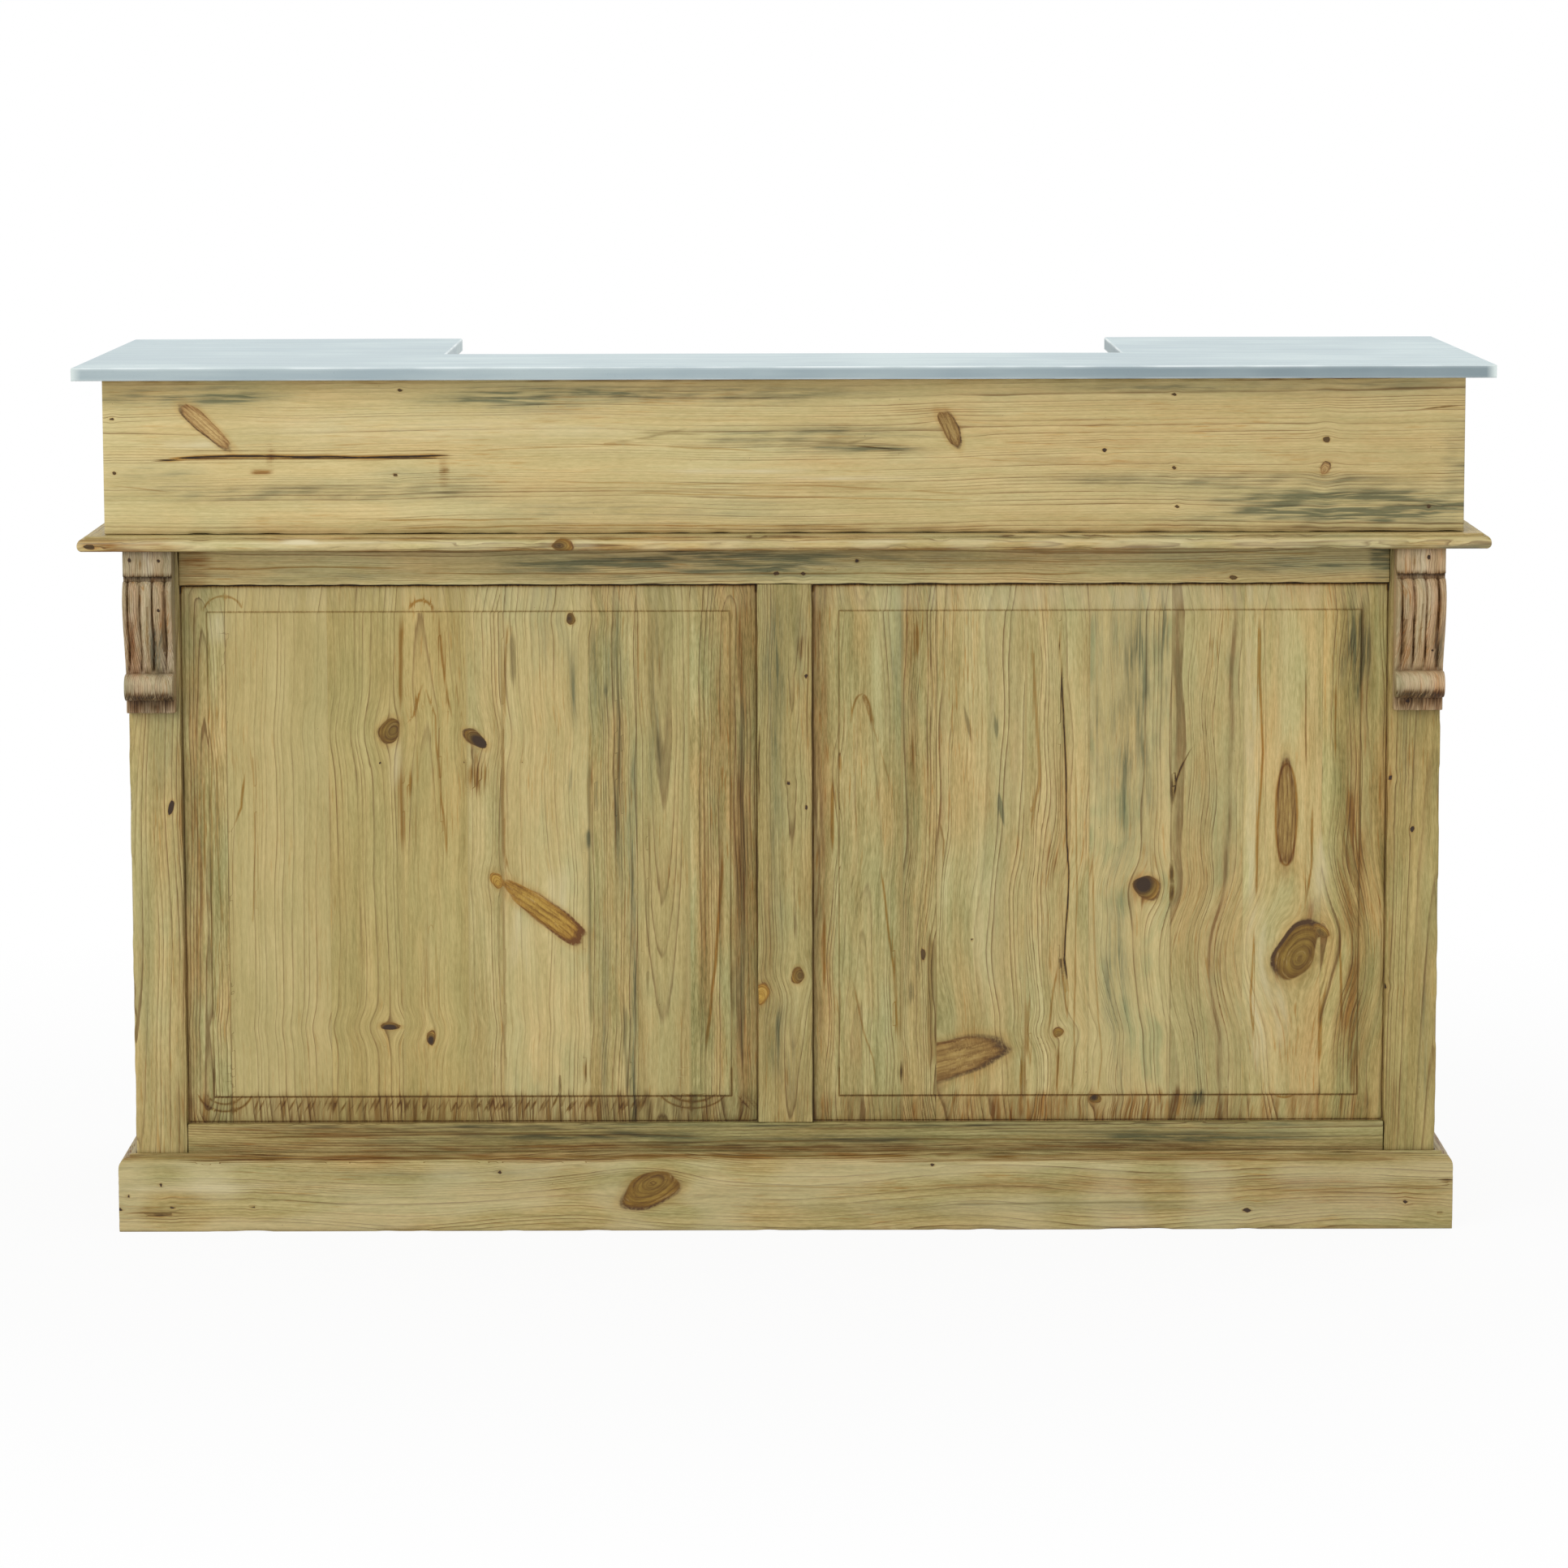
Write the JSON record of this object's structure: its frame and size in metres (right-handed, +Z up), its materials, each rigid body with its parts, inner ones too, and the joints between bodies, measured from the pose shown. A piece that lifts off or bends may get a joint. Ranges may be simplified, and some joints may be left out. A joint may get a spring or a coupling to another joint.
{
  "type": "bar counter",
  "caption": "Panelled pine bar counter with a U-shaped sheet-zinc top, fluted corbels, a rear serving bay with a lower worktop and shelf, drawers and cupboard doors.",
  "frame": {"origin": "on the floor, under the middle of the zinc top", "axes": "+X to the customer's right along the counter, -Y towards the customer, +Y towards the serving side, +Z up"},
  "size_m": [1.8, 0.7, 1.12],
  "materials": {
    "sheet_zinc": "sheet zinc, weathered pale blue-grey, satin, folded and soldered at the corners",
    "waxed_pine": "old reclaimed pine, waxed, yellow-olive with grey-green stains, knots and nail holes",
    "dark_waxed_pine": "old carved pine, waxed, redder and darker, distressed",
    "bare_pine": "planed pine inside, unwaxed, matt"
  },
  "bodies": {
    "carcass": {"cheek_left": "bare_pine", "cheek_right": "bare_pine", "corbel_left": "dark_waxed_pine", "corbel_right": "dark_waxed_pine", "cornice_front": "waxed_pine", "cornice_left": "waxed_pine", "cornice_right": "waxed_pine", "deck_board": "bare_pine", "end_left_bottom_rail": "waxed_pine", "end_left_panel": "waxed_pine", "end_left_rear_stile": "waxed_pine", "end_left_top_rail": "waxed_pine", "end_right_bottom_rail": "waxed_pine", "end_right_panel": "waxed_pine", "end_right_rear_stile": "waxed_pine", "end_right_top_rail": "waxed_pine", "floor_board": "bare_pine", "frieze_end_left": "waxed_pine", "frieze_end_right": "waxed_pine", "frieze_front": "waxed_pine", "front_bottom_rail": "waxed_pine", "front_muntin": "waxed_pine", "front_panel_left": "waxed_pine", "front_panel_right": "waxed_pine", "front_post_left": "waxed_pine", "front_post_right": "waxed_pine", "front_top_rail": "waxed_pine", "partition_left": "bare_pine", "partition_right": "bare_pine", "plinth_back": "bare_pine", "plinth_front": "waxed_pine", "plinth_left": "waxed_pine", "plinth_right": "waxed_pine", "shelf_centre": "bare_pine", "top_board": "bare_pine", "zinc_cover": "sheet_zinc"},
    "drawer_left": {"drawer_left_back": "bare_pine", "drawer_left_bottom": "bare_pine", "drawer_left_front": "waxed_pine", "drawer_left_inner_side": "bare_pine", "drawer_left_knob": "waxed_pine", "drawer_left_outer_side": "bare_pine"},
    "drawer_right": {"drawer_right_back": "bare_pine", "drawer_right_bottom": "bare_pine", "drawer_right_front": "waxed_pine", "drawer_right_inner_side": "bare_pine", "drawer_right_knob": "waxed_pine", "drawer_right_outer_side": "bare_pine"},
    "door_left": {"door_left_bottom_rail": "waxed_pine", "door_left_free_stile": "waxed_pine", "door_left_hinge_stile": "waxed_pine", "door_left_knob": "waxed_pine", "door_left_panel": "waxed_pine", "door_left_top_rail": "waxed_pine"},
    "door_right": {"door_right_bottom_rail": "waxed_pine", "door_right_free_stile": "waxed_pine", "door_right_hinge_stile": "waxed_pine", "door_right_knob": "waxed_pine", "door_right_panel": "waxed_pine", "door_right_top_rail": "waxed_pine"}
  },
  "joints": [
    {"name": "drawer_left_slide", "type": "slide", "parent": "carcass", "child": "drawer_left", "axis": [0, 1, 0], "range_m": [0, 0.34]},
    {"name": "drawer_right_slide", "type": "slide", "parent": "carcass", "child": "drawer_right", "axis": [0, 1, 0], "range_m": [0, 0.34]},
    {"name": "door_left_hinge", "type": "hinge", "parent": "carcass", "child": "door_left", "pos_m": [-0.8, 0.3095, 0.5], "axis": [0, 0, 1], "range_deg": [0, 95]},
    {"name": "door_right_hinge", "type": "hinge", "parent": "carcass", "child": "door_right", "pos_m": [0.8, 0.3095, 0.5], "axis": [0, 0, -1], "range_deg": [0, 95]}
  ]
}
